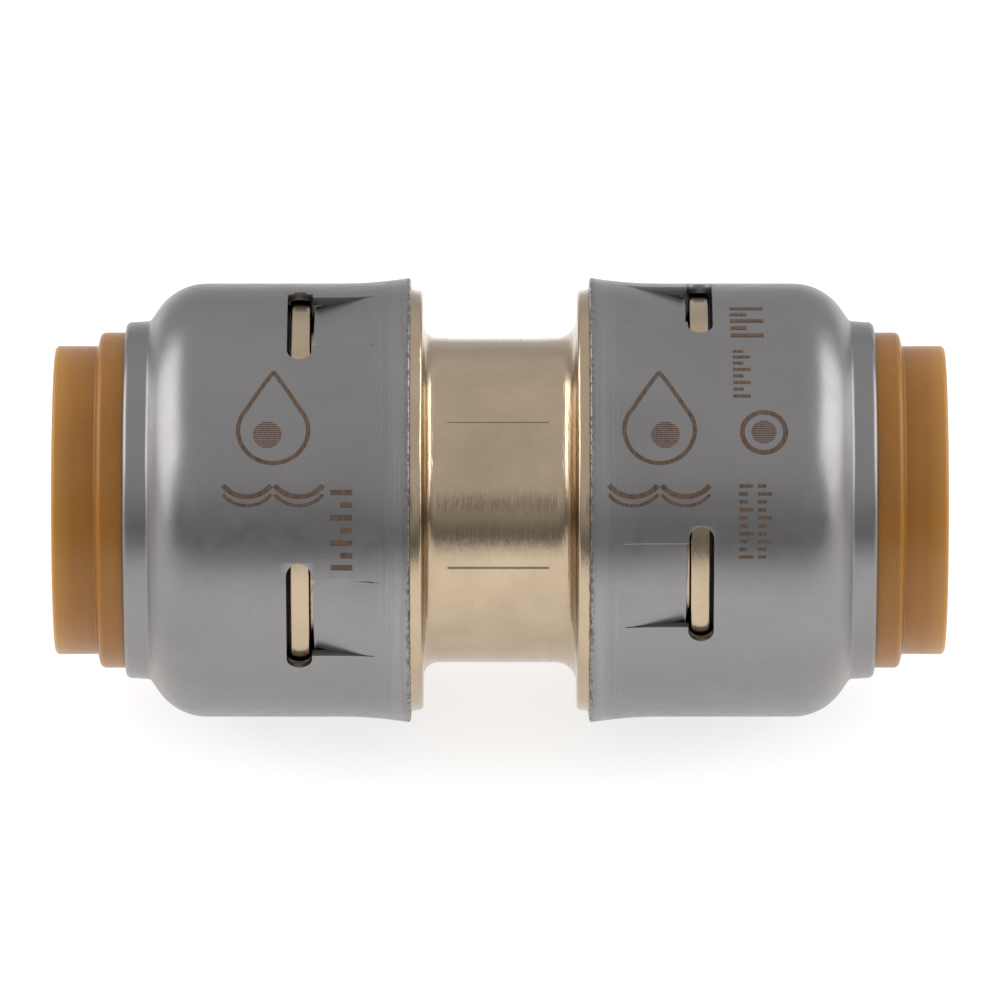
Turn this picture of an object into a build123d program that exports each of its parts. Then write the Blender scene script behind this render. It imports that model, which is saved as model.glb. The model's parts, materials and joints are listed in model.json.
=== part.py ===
"""Straight push-fit coupling for 15.9 mm (1/2 in nominal) pipe, as fifteen separate pieces.

The pipe axis is X. The origin is the middle of the coupling, on that axis, and +Z is up.
Every distance along X is measured from the centre plane, and each end is built on the +X side
and mirrored for the -X side.
"""
import os
from math import asin, cos, degrees, radians, sin, sqrt, tan

from build123d import *

# ---- the pipe that the coupling joins ----
PIPE_R = 7.9375

# ---- overall ----
HALF_LENGTH = 27.0

# ---- brass body ----
NECK_R = 9.865
NECK_FILLET = {"left": 0.9, "right": 1.3}
FLANGE_FACE = 4.65
FLANGE_R = 12.75
FLANGE_CORNER = 0.28
FLANGE_EDGE = 4.95
SEAT_START = 5.45
SEAT_START_R = 12.87
SEAT_END = 7.4
SEAT_END_R = 12.62
GROOVE_R = 11.4
LAND_START = 11.45
LAND_R = 12.45
LAND_CORNER = 0.3
BODY_END = 12.68
STOP_HALF = 1.2
STOP_R = 6.6
PIPE_BORE_R = PIPE_R + 0.1125
SEAL_BORE_R = 10.22
SEAL_BORE_START = 6.4
SEAL_BORE_CHAMFER = 0.3

# ---- stainless outer sleeve ----
SHEET = 0.52
LIP_X = SEAT_START
LIP_R = 13.52
FLARE_END = 9.75
SLEEVE_R = 13.17
SHOULDER_START = 17.8
SHOULDER_RADIUS = 3.53
SHOULDER_TURN = 55.0
NOSE_ROOT_R = 10.89
NOSE_FILLET = 0.3
MOUTH_X = 22.75
MOUTH_R = 10.8
MOUTH_CORNER = 0.4
LIP_CORNER = 0.15

# ---- slots and lanced tabs in the sleeve ----
SLOT_START = 11.3
SLOT_END = 12.82
SLOT_ARC = 33.0
SLOT_COUNT = 4
SLOT_CLOCKING = {"left": 3.5, "right": -6.5}
TAB_ROOT = 7.54
TAB_END = 11.19
TAB_ARC = 23.5
TAB_DROP = 0.7
TAB_INSET = 0.03
SHEAR_GAP_ARC = 0.3

# ---- release collar ----
COLLAR_TRAVEL = 1.3
COLLAR_BORE_R = 8.1
COLLAR_BORE_START = 19.6
COLLAR_MOUTH_CHAMFER = 0.3
COLLAR_END_R = 9.38
COLLAR_END_ROOT_R = 9.355
COLLAR_END_CORNER = 0.3
RING_R = 10.19
RING_FACE = 24.4
RING_FACE_LEAN = 0.2
RING_CORNER = 0.35
RETAINER_R = 11.2
RETAINER_BACK = 19.55
RETAINER_GAP = 0.06
NOSE_R = 9.25
NOSE_TIP = 15.95
NOSE_TIP_R = 8.75
NOSE_BORE_R = 8.4
NOSE_TAPER = 0.75

# ---- grab ring ----
GRAB_RIM_X = 16.03
GRAB_RIM_R = 12.4
GRAB_SHEET = 0.45
TOOTH_ROOT_R = 10.5
TOOTH_TIP_R = 7.65
TOOTH_ANGLE = 35.0
TOOTH_COUNT = 16
TOOTH_GAP = 1.1
TOOTH_GAP_ROOT_R = 10.2

# ---- grab ring backing ----
BACKING_X = GRAB_RIM_X + GRAB_SHEET + 0.07
BACKING_BORE_R = 9.9
BACKING_R = 12.57
BACKING_WEB_FACE = RETAINER_BACK - COLLAR_TRAVEL - 0.1
BACKING_END = 19.6
BACKING_SKIRT_BORE_R = 11.45

# ---- O-ring and its protector ----
O_RING_X = 8.1
O_RING_SECTION = 2.5
O_RING_R = 8.95
PROTECTOR_TIP = 9.6
PROTECTOR_SPIGOT_R = 10.12
PROTECTOR_BORE_R = 8.15
PROTECTOR_R = 12.4
PROTECTOR_GAP = 0.05
PROTECTOR_END = GRAB_RIM_X - 0.03
PROTECTOR_CORNER = 0.6
PROTECTOR_CONE_X = 12.9
PROTECTOR_CONE_R = 8.45
PROTECTOR_LIP = 0.3
PROTECTOR_CONE_MOUTH_R = 10.85

# ---- pipe liner ----
LINER_START = STOP_HALF + 0.05
LINER_FLANGE = 0.8
LINER_FLANGE_R = 7.85
LINER_R = 5.95
LINER_BORE_R = 5.2
LINER_TIP = 19.3
LINER_TIP_CHAMFER = 0.3

# ---- worked out from the dimensions above ----
FLARE_RADIUS = ((FLARE_END - LIP_X) ** 2 + (LIP_R - SLEEVE_R) ** 2) / (2 * (LIP_R - SLEEVE_R))
SHOULDER_CENTRE_R = SLEEVE_R - SHOULDER_RADIUS
CONE_START = SHOULDER_START + SHOULDER_RADIUS * sin(radians(SHOULDER_TURN))
CONE_START_R = SHOULDER_CENTRE_R + SHOULDER_RADIUS * cos(radians(SHOULDER_TURN))

SIDES = ("left", "right")


def circles_at(part, radius, x):
    """The circular edges of a turned part that have this radius and this distance from the centre."""
    def matches(edge):
        return abs(edge.radius - radius) < 1e-3 and abs(abs(edge.arc_center.X) - x) < 1e-3

    return part.edges().filter_by(GeomType.CIRCLE).filter_by(matches)


def to_side(side):
    """Mirrors the piece under construction when it belongs to the -X end."""
    if side == "left":
        mirror(about=Plane.YZ, mode=Mode.REPLACE)


def make_brass_body():
    """The turned body: neck, two flanges, two sleeve seats and grooves, and the stepped bore."""
    with BuildPart() as brass_body:
        with BuildSketch(Plane.XY):
            with BuildLine():
                Polyline(
                    (0, STOP_R),
                    (STOP_HALF, STOP_R),
                    (STOP_HALF, PIPE_BORE_R),
                    (SEAL_BORE_START, PIPE_BORE_R),
                    (SEAL_BORE_START, SEAL_BORE_R),
                    (BODY_END, SEAL_BORE_R),
                    (BODY_END, LAND_R),
                    (LAND_START, LAND_R),
                    (LAND_START, GROOVE_R),
                    (SEAT_END, GROOVE_R),
                    (SEAT_END, SEAT_END_R),
                    (SEAT_START, SEAT_START_R),
                    (FLANGE_EDGE, FLANGE_R),
                    (FLANGE_FACE, FLANGE_R),
                    (FLANGE_FACE, NECK_R),
                    (0, NECK_R),
                )
                mirror(about=Plane.YZ)
            make_face()
        revolve(axis=Axis.X)
        fillet(circles_at(brass_body, NECK_R, FLANGE_FACE).sort_by(Axis.X)[0], NECK_FILLET["left"])
        fillet(circles_at(brass_body, NECK_R, FLANGE_FACE), NECK_FILLET["right"])
        fillet(circles_at(brass_body, FLANGE_R, FLANGE_FACE), FLANGE_CORNER)
        fillet(circles_at(brass_body, LAND_R, BODY_END), LAND_CORNER)
        chamfer(circles_at(brass_body, SEAL_BORE_R, BODY_END), SEAL_BORE_CHAMFER)
        chamfer(circles_at(brass_body, PIPE_BORE_R, SEAL_BORE_START), SEAL_BORE_CHAMFER)
    brass_body.part.label = "brass_body"
    return brass_body.part


def cone_x(radius, depth):
    """Where a face that lies this deep inside the sleeve's conical shoulder has this radius."""
    slope = radians(SHOULDER_TURN)
    return CONE_START + (CONE_START_R - depth / cos(slope) - radius) / tan(slope)


def flare_r(x):
    """The outer radius of the sleeve along its flare."""
    return SLEEVE_R + FLARE_RADIUS - sqrt(FLARE_RADIUS ** 2 - (FLARE_END - x) ** 2)


def radial_plane(angle):
    """A plane through the pipe axis whose y direction points out at this angle about the axis."""
    return Plane.XY.rotated((angle, 0, 0))


def make_sleeve(side):
    """The drawn stainless sleeve: flared lip, shoulder, mouth, four slots and four lanced tabs."""
    with BuildPart() as sleeve:
        with BuildSketch(Plane.XY):
            with BuildLine():
                TangentArc((FLARE_END, SLEEVE_R), (LIP_X, LIP_R), tangent=(-1, 0))
                Line((FLARE_END, SLEEVE_R), (SHOULDER_START, SLEEVE_R))
                shoulder = JernArc((SHOULDER_START, SLEEVE_R), (1, 0), SHOULDER_RADIUS, -SHOULDER_TURN)
                nose_root = (cone_x(NOSE_ROOT_R, 0), NOSE_ROOT_R)
                FilletPolyline(shoulder @ 1, nose_root, (MOUTH_X, MOUTH_R), radius=NOSE_FILLET)
                offset(amount=SHEET, side=Side.LEFT, closed=True)
            make_face()
            fillet(vertices().sort_by(Axis.X)[:2], LIP_CORNER)
            fillet(vertices().sort_by(Axis.X)[-2:].sort_by(Axis.Y)[-1], MOUTH_CORNER)
        revolve(axis=Axis.X)

        for number in range(SLOT_COUNT):
            angle = SLOT_CLOCKING[side] + number * 360 / SLOT_COUNT
            out = (0, cos(radians(angle)), sin(radians(angle)))
            middle = (SLOT_START + SLOT_END) / 2

            # The slot is punched straight in, with full-round ends.
            slot_plane = Plane(origin=(middle, 0, 0), x_dir=(1, 0, 0), z_dir=out)
            with BuildSketch(slot_plane.offset(GROOVE_R)):
                slot_length = 2 * SLEEVE_R * sin(radians(SLOT_ARC / 2))
                SlotOverall(slot_length, SLOT_END - SLOT_START, rotation=90)
            extrude(amount=LIP_R - GROOVE_R, mode=Mode.SUBTRACT)

            # The window that the tab is sheared from runs back from the slot.
            window_arc = TAB_ARC + 2 * SHEAR_GAP_ARC
            with BuildSketch(radial_plane(angle - window_arc / 2)):
                with BuildLine():
                    Polyline(
                        (TAB_ROOT, GROOVE_R),
                        (middle, GROOVE_R),
                        (middle, LIP_R),
                        (TAB_ROOT, LIP_R),
                        close=True,
                    )
                make_face()
            revolve(axis=Axis.X, revolution_arc=window_arc, mode=Mode.SUBTRACT)

            # The tab leans in from its root until its free end is below the land of the body.
            lean = asin((flare_r(TAB_ROOT) - SLEEVE_R + TAB_DROP) / (TAB_END - TAB_ROOT))
            tab_end_r = SLEEVE_R - TAB_DROP
            with BuildSketch(radial_plane(angle - TAB_ARC / 2)):
                with BuildLine():
                    Polyline(
                        (TAB_ROOT - SHEET / 2, flare_r(TAB_ROOT) - TAB_INSET),
                        (TAB_ROOT, flare_r(TAB_ROOT) - TAB_INSET),
                        (TAB_END, tab_end_r),
                        (TAB_END - SHEET * sin(lean), tab_end_r - SHEET * cos(lean)),
                        (TAB_ROOT, flare_r(TAB_ROOT) - SHEET + TAB_INSET),
                        (TAB_ROOT - SHEET / 2, flare_r(TAB_ROOT) - SHEET + TAB_INSET),
                        close=True,
                    )
                make_face()
            revolve(axis=Axis.X, revolution_arc=TAB_ARC)
        to_side(side)
    sleeve.part.label = f"{side}_outer_sleeve"
    return sleeve.part


def make_release_collar(side):
    """One moulding: end section, ring, retaining flange behind the mouth, and the nose."""
    with BuildPart() as collar:
        with BuildSketch(Plane.XY):
            with BuildLine():
                Polyline(
                    (NOSE_TIP, NOSE_BORE_R),
                    (NOSE_TIP, NOSE_TIP_R),
                    (NOSE_TIP + NOSE_TAPER, NOSE_R),
                    (RETAINER_BACK, NOSE_R),
                    (RETAINER_BACK, RETAINER_R),
                    (cone_x(RETAINER_R, SHEET + RETAINER_GAP), RETAINER_R),
                    (cone_x(RING_R, SHEET + RETAINER_GAP), RING_R),
                    (RING_FACE - RING_FACE_LEAN, RING_R),
                    (RING_FACE, COLLAR_END_ROOT_R),
                    (HALF_LENGTH, COLLAR_END_R),
                    (HALF_LENGTH, COLLAR_BORE_R),
                    (COLLAR_BORE_START, COLLAR_BORE_R),
                    (COLLAR_BORE_START - NOSE_BORE_R + COLLAR_BORE_R, NOSE_BORE_R),
                    close=True,
                )
            make_face()
        revolve(axis=Axis.X)
        fillet(circles_at(collar, RING_R, RING_FACE - RING_FACE_LEAN), RING_CORNER)
        fillet(circles_at(collar, COLLAR_END_R, HALF_LENGTH), COLLAR_END_CORNER)
        chamfer(circles_at(collar, COLLAR_BORE_R, HALF_LENGTH), COLLAR_MOUTH_CHAMFER)
        to_side(side)
    collar.part.label = f"{side}_release_collar"
    return collar.part


def make_grab_ring(side):
    """The spring-steel ring: a flat rim and a cone of teeth that lean towards the pipe stop."""
    lean = radians(TOOTH_ANGLE)
    with BuildPart() as grab_ring:
        with BuildSketch(Plane.XY):
            with BuildLine():
                back_tip_r = TOOTH_TIP_R + GRAB_SHEET * sin(lean)
                Polyline(
                    (GRAB_RIM_X, GRAB_RIM_R),
                    (GRAB_RIM_X, TOOTH_ROOT_R),
                    (GRAB_RIM_X - (TOOTH_ROOT_R - back_tip_r) * tan(lean), back_tip_r),
                )
                offset(amount=GRAB_SHEET, side=Side.LEFT, closed=True, kind=Kind.INTERSECTION)
            make_face()
        revolve(axis=Axis.X)

        # Round-bottomed gaps part the cone into teeth.
        gap_length = TOOTH_GAP_ROOT_R - TOOTH_TIP_R + TOOTH_GAP
        with BuildSketch(Plane.YZ.offset(GRAB_RIM_X)):
            with PolarLocations(TOOTH_GAP_ROOT_R - gap_length / 2, TOOTH_COUNT):
                SlotOverall(gap_length, TOOTH_GAP)
        extrude(amount=GRAB_RIM_R - TOOTH_TIP_R, both=True, mode=Mode.SUBTRACT)
        to_side(side)
    grab_ring.part.label = f"{side}_grab_ring"
    return grab_ring.part


def make_backing_ring(side):
    """The ring that backs the grab ring's rim and carries the pull into the sleeve's shoulder."""
    corner_radius = BACKING_R - SHOULDER_CENTRE_R
    corner_turn = degrees(asin((BACKING_END - SHOULDER_START) / corner_radius))
    with BuildPart() as backing_ring:
        with BuildSketch(Plane.XY):
            with BuildLine():
                Line((BACKING_X, BACKING_R), (SHOULDER_START, BACKING_R))
                corner = JernArc((SHOULDER_START, BACKING_R), (1, 0), corner_radius, -corner_turn)
                Polyline(
                    corner @ 1,
                    (BACKING_END, BACKING_SKIRT_BORE_R),
                    (BACKING_WEB_FACE, BACKING_SKIRT_BORE_R),
                    (BACKING_WEB_FACE, BACKING_BORE_R),
                    (BACKING_X, BACKING_BORE_R),
                    (BACKING_X, BACKING_R),
                )
            make_face()
        revolve(axis=Axis.X)
        to_side(side)
    backing_ring.part.label = f"{side}_backing_ring"
    return backing_ring.part


def make_o_ring_protector(side):
    """The moulded ring that shuts the O-ring in and leaves a cone for the teeth to bend into."""
    start = BODY_END + PROTECTOR_GAP
    with BuildPart() as protector:
        with BuildSketch(Plane.XY):
            with BuildLine():
                Polyline(
                    (PROTECTOR_TIP, PROTECTOR_BORE_R),
                    (PROTECTOR_TIP, PROTECTOR_SPIGOT_R),
                    (start, PROTECTOR_SPIGOT_R),
                    (start, PROTECTOR_R - PROTECTOR_CORNER),
                    (start + PROTECTOR_CORNER, PROTECTOR_R),
                    (PROTECTOR_END, PROTECTOR_R),
                    (PROTECTOR_END, PROTECTOR_CONE_MOUTH_R),
                    (PROTECTOR_CONE_X, PROTECTOR_CONE_R),
                    (PROTECTOR_CONE_X - PROTECTOR_LIP, PROTECTOR_BORE_R),
                    close=True,
                )
            make_face()
        revolve(axis=Axis.X)
        to_side(side)
    protector.part.label = f"{side}_o_ring_protector"
    return protector.part


def make_o_ring(side):
    """The rubber seal, squeezed lightly between the seal bore and the pipe."""
    with BuildPart() as o_ring:
        with BuildSketch(Plane.XY):
            with Locations((O_RING_X, O_RING_R)):
                Circle(O_RING_SECTION / 2)
        revolve(axis=Axis.X)
        to_side(side)
    o_ring.part.label = f"{side}_o_ring"
    return o_ring.part


def make_pipe_liner(side):
    """The flanged tube that stands inside a plastic pipe and keeps it round under the seal."""
    flange_face = LINER_START + LINER_FLANGE
    with BuildPart() as liner:
        with BuildSketch(Plane.XY):
            with BuildLine():
                Polyline(
                    (LINER_START, LINER_BORE_R),
                    (LINER_START, LINER_FLANGE_R),
                    (flange_face, LINER_FLANGE_R),
                    (flange_face, LINER_R),
                    (LINER_TIP - LINER_TIP_CHAMFER, LINER_R),
                    (LINER_TIP, LINER_R - LINER_TIP_CHAMFER),
                    (LINER_TIP, LINER_BORE_R),
                    close=True,
                )
            make_face()
        revolve(axis=Axis.X)
        to_side(side)
    liner.part.label = f"{side}_pipe_liner"
    return liner.part


os.makedirs("parts", exist_ok=True)
pieces = [make_brass_body()]
for side in SIDES:
    pieces += [
        make_sleeve(side),
        make_release_collar(side),
        make_grab_ring(side),
        make_backing_ring(side),
        make_o_ring_protector(side),
        make_o_ring(side),
        make_pipe_liner(side),
    ]
for piece in pieces:
    export_step(piece, f"parts/{piece.label}.step")
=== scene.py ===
"""A straight push-fit coupling: turned brass body, two drawn stainless sleeves, two tan release
collars, and the grab rings, backing rings, seal protectors, O-rings and liners inside them.
"""
import json
import math

import bmesh
import bpy
from bpy.props import FloatProperty, FloatVectorProperty, IntProperty, PointerProperty
from bpy.types import Operator, Panel, PropertyGroup
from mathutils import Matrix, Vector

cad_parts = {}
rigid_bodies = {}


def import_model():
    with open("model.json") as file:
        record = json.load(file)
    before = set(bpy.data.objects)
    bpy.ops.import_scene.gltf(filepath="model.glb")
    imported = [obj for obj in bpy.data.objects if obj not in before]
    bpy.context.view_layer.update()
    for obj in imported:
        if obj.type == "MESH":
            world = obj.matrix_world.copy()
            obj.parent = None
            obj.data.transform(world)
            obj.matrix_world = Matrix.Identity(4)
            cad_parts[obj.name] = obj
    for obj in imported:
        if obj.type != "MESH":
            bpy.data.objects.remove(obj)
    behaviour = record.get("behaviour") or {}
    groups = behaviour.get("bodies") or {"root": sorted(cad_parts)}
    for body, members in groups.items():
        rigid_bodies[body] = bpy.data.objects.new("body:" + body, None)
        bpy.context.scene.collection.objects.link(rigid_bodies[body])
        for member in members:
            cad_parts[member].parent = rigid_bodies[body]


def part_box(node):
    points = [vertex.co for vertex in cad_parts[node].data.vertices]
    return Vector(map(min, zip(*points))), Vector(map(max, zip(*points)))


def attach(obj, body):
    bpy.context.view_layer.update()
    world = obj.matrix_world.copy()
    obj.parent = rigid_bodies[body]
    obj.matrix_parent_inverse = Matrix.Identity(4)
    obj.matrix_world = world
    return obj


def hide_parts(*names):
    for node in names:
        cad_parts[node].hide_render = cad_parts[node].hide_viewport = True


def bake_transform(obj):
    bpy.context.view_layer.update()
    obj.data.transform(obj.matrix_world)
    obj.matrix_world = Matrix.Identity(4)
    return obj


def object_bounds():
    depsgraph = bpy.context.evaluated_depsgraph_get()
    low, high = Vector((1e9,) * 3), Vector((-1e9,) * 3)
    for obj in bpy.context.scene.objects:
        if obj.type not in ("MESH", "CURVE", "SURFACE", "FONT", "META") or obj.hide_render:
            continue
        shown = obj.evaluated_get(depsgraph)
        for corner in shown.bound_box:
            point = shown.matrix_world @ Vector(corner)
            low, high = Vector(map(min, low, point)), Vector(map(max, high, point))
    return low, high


bl_info = {
    "name": "Push Fit Coupling",
    "version": (1, 0, 0),
    "blender": (4, 5, 0),
    "location": "3D View > Sidebar > Coupling",
    "description": "Builds a push-fit pipe coupling piece by piece around its packed frame",
    "category": "Add Mesh",
}

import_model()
CAD_BOUNDS = [list(corner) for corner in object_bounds()]

MM = 0.001
SIDES = {"left": -1, "right": 1}
AXIS = (1, 0, 0)
CENTRE = (0, 0, 0)


def far_x(node):
    """How far from the centre plane a right-hand node reaches."""
    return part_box(f"right_{node}")[1].x


def near_x(node):
    """How close to the centre plane a right-hand node comes."""
    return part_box(f"right_{node}")[0].x


# ---------------------------------------------------------------- sizes


def length(name, description, millimetres):
    return FloatProperty(
        name=name,
        description=description,
        default=millimetres * MM,
        min=0.0,
        unit="LENGTH",
        subtype="DISTANCE",
        precision=5,
    )


def place(name, description, metres):
    return FloatProperty(
        name=name, description=description, default=metres, unit="LENGTH", subtype="DISTANCE", precision=5
    )


def turn_angle(name, description, degrees):
    return FloatProperty(name=name, description=description, default=math.radians(degrees), subtype="ANGLE")


def colour(name, description, value):
    return FloatVectorProperty(
        name=name, description=description, default=value, size=3, min=0.0, max=1.0, subtype="COLOR"
    )


class CouplingBodySizes(PropertyGroup):
    """The turned brass body, measured from the centre plane and the pipe axis"""

    end: place("End", "Where each socket's brass ends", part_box("brass_body")[1].x)
    neck_radius: length("Neck radius", "Radius of the neck between the flanges", 9.865)
    left_fillet: length("Left fillet", "Fillet between the neck and the left flange", 0.9)
    right_fillet: length("Right fillet", "Fillet between the neck and the right flange", 1.3)
    flange_face: length("Flange face", "Where the flange's inner face stands", 4.65)
    flange_edge: length("Flange edge", "Where the flange's rim starts to lean out", 4.95)
    flange_radius: length("Flange radius", "Radius of the flange's rim", 12.75)
    flange_corner: length("Flange corner", "Rounding of the flange's rim", 0.28)
    seat_start: length("Seat start", "Where the sleeve's lip sits", 5.45)
    seat_start_radius: length("Seat start radius", "Radius of the seat at the lip", 12.87)
    seat_end: length("Seat end", "Where the tab groove begins", 7.4)
    seat_end_radius: length("Seat end radius", "Radius of the seat at the groove", 12.62)
    groove_radius: length("Groove radius", "Radius at the bottom of the tab groove", 11.4)
    land_start: length("Land start", "The wall that the tabs catch on", 11.45)
    land_radius: length("Land radius", "Radius of the land seen through the slots", 12.45)
    land_corner: length("Land corner", "Rounding of the land towards the mouth", 0.2)
    stop_half: length("Stop half", "Half the width of the pipe stop", 1.2)
    stop_radius: length("Stop radius", "Radius of the bore through the pipe stop", 6.6)
    pipe_bore: length("Pipe bore", "Radius of the bore that guides the pipe", 8.05)
    seal_bore: length("Seal bore", "Radius of the bore that holds the O-ring", 10.22)
    seal_bore_start: length("Seal bore start", "Where the O-ring's bore begins", 6.4)
    lead_in: length("Lead in", "Chamfer at the mouth of each bore", 0.3)
    print_left: length("Print left", "How far the chuck prints reach to the left", 3.06)
    print_right: length("Print right", "How far the chuck prints reach to the right", 2.84)
    print_depth: length("Print depth", "How deep the chuck's jaws press the neck", 0.03)
    print_nick: length("Print nick", "How deep the corners of the jaws cut", 0.085)
    print_gap: turn_angle("Print gap", "Angle left bare between two chuck prints", 52.0)
    print_turn: turn_angle("Print turn", "Where the first bare gap is, up from the front", 32.0)


class CouplingSleeveSizes(PropertyGroup):
    """The drawn stainless sleeve"""

    lip: length("Lip", "Where the flared lip ends", 5.45)
    lip_radius: length("Lip radius", "Outer radius of the flared lip", 13.52)
    flare_end: length("Flare end", "Where the flare meets the straight wall", 9.75)
    radius: length("Radius", "Outer radius of the straight wall", 13.17)
    sheet: length("Sheet", "Thickness of the sheet", 0.52)
    shoulder: length("Shoulder", "Where the shoulder's bend starts", 17.8)
    shoulder_radius: length("Shoulder radius", "Outer radius of the shoulder's bend", 3.53)
    shoulder_turn: turn_angle("Shoulder turn", "How far the shoulder's bend turns", 55.0)
    nose_radius: length("Nose radius", "Outer radius at the root of the nose", 10.89)
    nose_fillet: length("Nose fillet", "Rounding where the shoulder meets the nose", 0.3)
    mouth: place("Mouth", "Where the sleeve's mouth is", far_x("outer_sleeve"))
    mouth_radius: length("Mouth radius", "Outer radius of the mouth", 10.8)
    mouth_corner: length("Mouth corner", "Rounding of the mouth's outer edge", 0.36)
    edge: length("Edge", "Rounding of the sheared edges", 0.025)
    slot_start: length("Slot start", "The slot's edge towards the lip", 11.3)
    slot_end: length("Slot end", "The slot's edge towards the mouth", 12.82)
    slot_arc: turn_angle("Slot arc", "Angle that a slot takes of the sleeve", 33.0)
    slots: IntProperty(name="Slots", description="Slots around each sleeve", default=4, min=1)
    left_clocking: turn_angle("Left clocking", "Angle of the left sleeve on the body", 3.5)
    right_clocking: turn_angle("Right clocking", "Angle of the right sleeve on the body", -6.5)
    tab_root: length("Tab root", "Where the tab starts to bend", 7.54)
    tab_arc: turn_angle("Tab arc", "Angle that a tab takes of the sleeve", 23.5)
    tab_drop: length("Tab drop", "How far in the tab's free end leans", 0.7)
    shear: length("Shear", "Gap that the shear leaves beside a tab", 0.03)


class CouplingCollarSizes(PropertyGroup):
    """The release collar"""

    end: place("End", "The collar's free end", far_x("release_collar"))
    nose: place("Nose", "The tip that presses the teeth", near_x("release_collar"))
    bore: length("Bore", "Radius of the bore that guides the pipe", 8.1)
    bore_start: length("Bore start", "Where the guiding bore begins", 19.6)
    lead_in: length("Lead in", "Chamfer at the collar's mouth", 0.3)
    end_radius: length("End radius", "Outer radius at the free end", 9.38)
    end_root_radius: length("End root radius", "Outer radius beside the ring", 9.355)
    end_corner: length("End corner", "Rounding of the free end", 0.3)
    ring_radius: length("Ring radius", "Radius of the ring in the sleeve's mouth", 10.19)
    ring_face: length("Ring face", "Where the ring meets the end section", 24.4)
    ring_lean: length("Ring lean", "How far the ring's face leans back", 0.2)
    ring_corner: length("Ring corner", "Rounding of the ring", 0.35)
    retainer_radius: length("Retainer radius", "Radius of the flange that the sleeve holds back", 11.2)
    retainer_back: length("Retainer back", "The back face of that flange", 19.55)
    retainer_gap: length("Retainer gap", "Clearance to the sleeve's shoulder", 0.06)
    nose_radius: length("Nose radius", "Outer radius of the nose", 9.25)
    nose_tip_radius: length("Nose tip radius", "Outer radius of the nose's tip", 8.75)
    nose_bore: length("Nose bore", "Bore of the nose", 8.4)
    nose_taper: length("Nose taper", "Length of the nose's taper", 0.75)


class CouplingGripSizes(PropertyGroup):
    """The toothed grab ring and the ring that backs it"""

    rim: length("Rim", "The back face of the grab ring's rim", 16.03)
    rim_radius: length("Rim radius", "Outer radius of the rim", 12.4)
    sheet: length("Sheet", "Thickness of the grab ring", 0.45)
    root_radius: length("Root radius", "Where the teeth leave the rim", 10.5)
    root_bend: length("Root bend", "Radius of the bend at the teeth's roots", 0.5)
    tip_radius: length("Tip radius", "Radius of the ring of tooth tips", 7.65)
    lean: turn_angle("Lean", "How far the teeth lean towards the pipe stop", 35.0)
    teeth: IntProperty(name="Teeth", description="Teeth on each grab ring", default=16, min=4)
    gap: length("Gap", "Width of the gap between two teeth", 1.1)
    gap_root_radius: length("Gap root radius", "Where each gap ends", 10.2)
    edge: length("Edge", "Rounding of the stamped edges", 0.04)
    backing_start: length("Backing start", "The face that the rim rests on", 16.55)
    backing_web: length("Backing web", "The web's other face", 18.15)
    backing_bore: length("Backing bore", "Bore that the collar's nose passes", 9.9)
    backing_radius: length("Backing radius", "Outer radius of the backing ring", 12.57)
    backing_end: length("Backing end", "End of the skirt in the shoulder", 19.6)
    backing_skirt: length("Backing skirt", "Bore of the skirt", 11.45)


class CouplingSealSizes(PropertyGroup):
    """The O-ring, its protector and the pipe liner"""

    ring_place: length("O-ring place", "Middle of the O-ring's section", 8.1)
    ring_radius: length("O-ring radius", "Radius of the middle of the O-ring's section", 8.95)
    ring_section: length("O-ring section", "Thickness of the O-ring", 2.5)
    flash: length("Flash", "Height of the moulding line on the O-ring", 0.02)
    protector_tip: place("Protector tip", "The end that faces the O-ring", near_x("o_ring_protector"))
    protector_end: place("Protector end", "The face under the grab ring", far_x("o_ring_protector"))
    protector_flange: length("Protector flange", "The face over the brass", 12.73)
    spigot_radius: length("Spigot radius", "Outer radius of the part in the brass", 10.12)
    protector_bore: length("Protector bore", "Bore that guides the pipe", 8.15)
    protector_radius: length("Protector radius", "Outer radius of the flange", 12.4)
    protector_corner: length("Protector corner", "Chamfer of the flange", 0.6)
    cone_place: length("Cone place", "Where the cone for the teeth ends", 12.9)
    cone_radius: length("Cone radius", "Radius at the bottom of the cone", 8.45)
    cone_mouth_radius: length("Cone mouth radius", "Radius at the mouth of the cone", 10.85)
    cone_lip: length("Cone lip", "Chamfer between the cone and the bore", 0.3)
    liner_start: place("Liner start", "The liner's end at the pipe stop", near_x("pipe_liner"))
    liner_tip: place("Liner tip", "The liner's free end", far_x("pipe_liner"))
    liner_flange: length("Liner flange", "Thickness of the liner's flange", 0.8)
    liner_flange_radius: length("Liner flange radius", "Outer radius of the flange", 7.85)
    liner_radius: length("Liner radius", "Outer radius of the tube", 5.95)
    liner_bore: length("Liner bore", "Bore of the tube", 5.2)
    liner_lead_in: length("Liner lead in", "Chamfer of the tube's tip", 0.3)


class CouplingMarkSizes(PropertyGroup):
    """The etched marks, drawn flat over the sleeve's top and then wrapped onto it"""

    proud: length("Proud", "How far the marks stand off the sheet", 0.012)
    line: length("Line", "Width of the emblem's lines", 0.26)
    drop_radius: length("Drop radius", "Radius of the emblem's water drop", 2.1)
    left_emblem: length("Left emblem", "Distance of the left emblem from the centre plane", 13.58)
    right_emblem: length("Right emblem", "Distance of the right emblem from the centre plane", 9.56)
    emblem_rise: turn_angle("Emblem rise", "How far up from the front the emblems are", 46.0)


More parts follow.
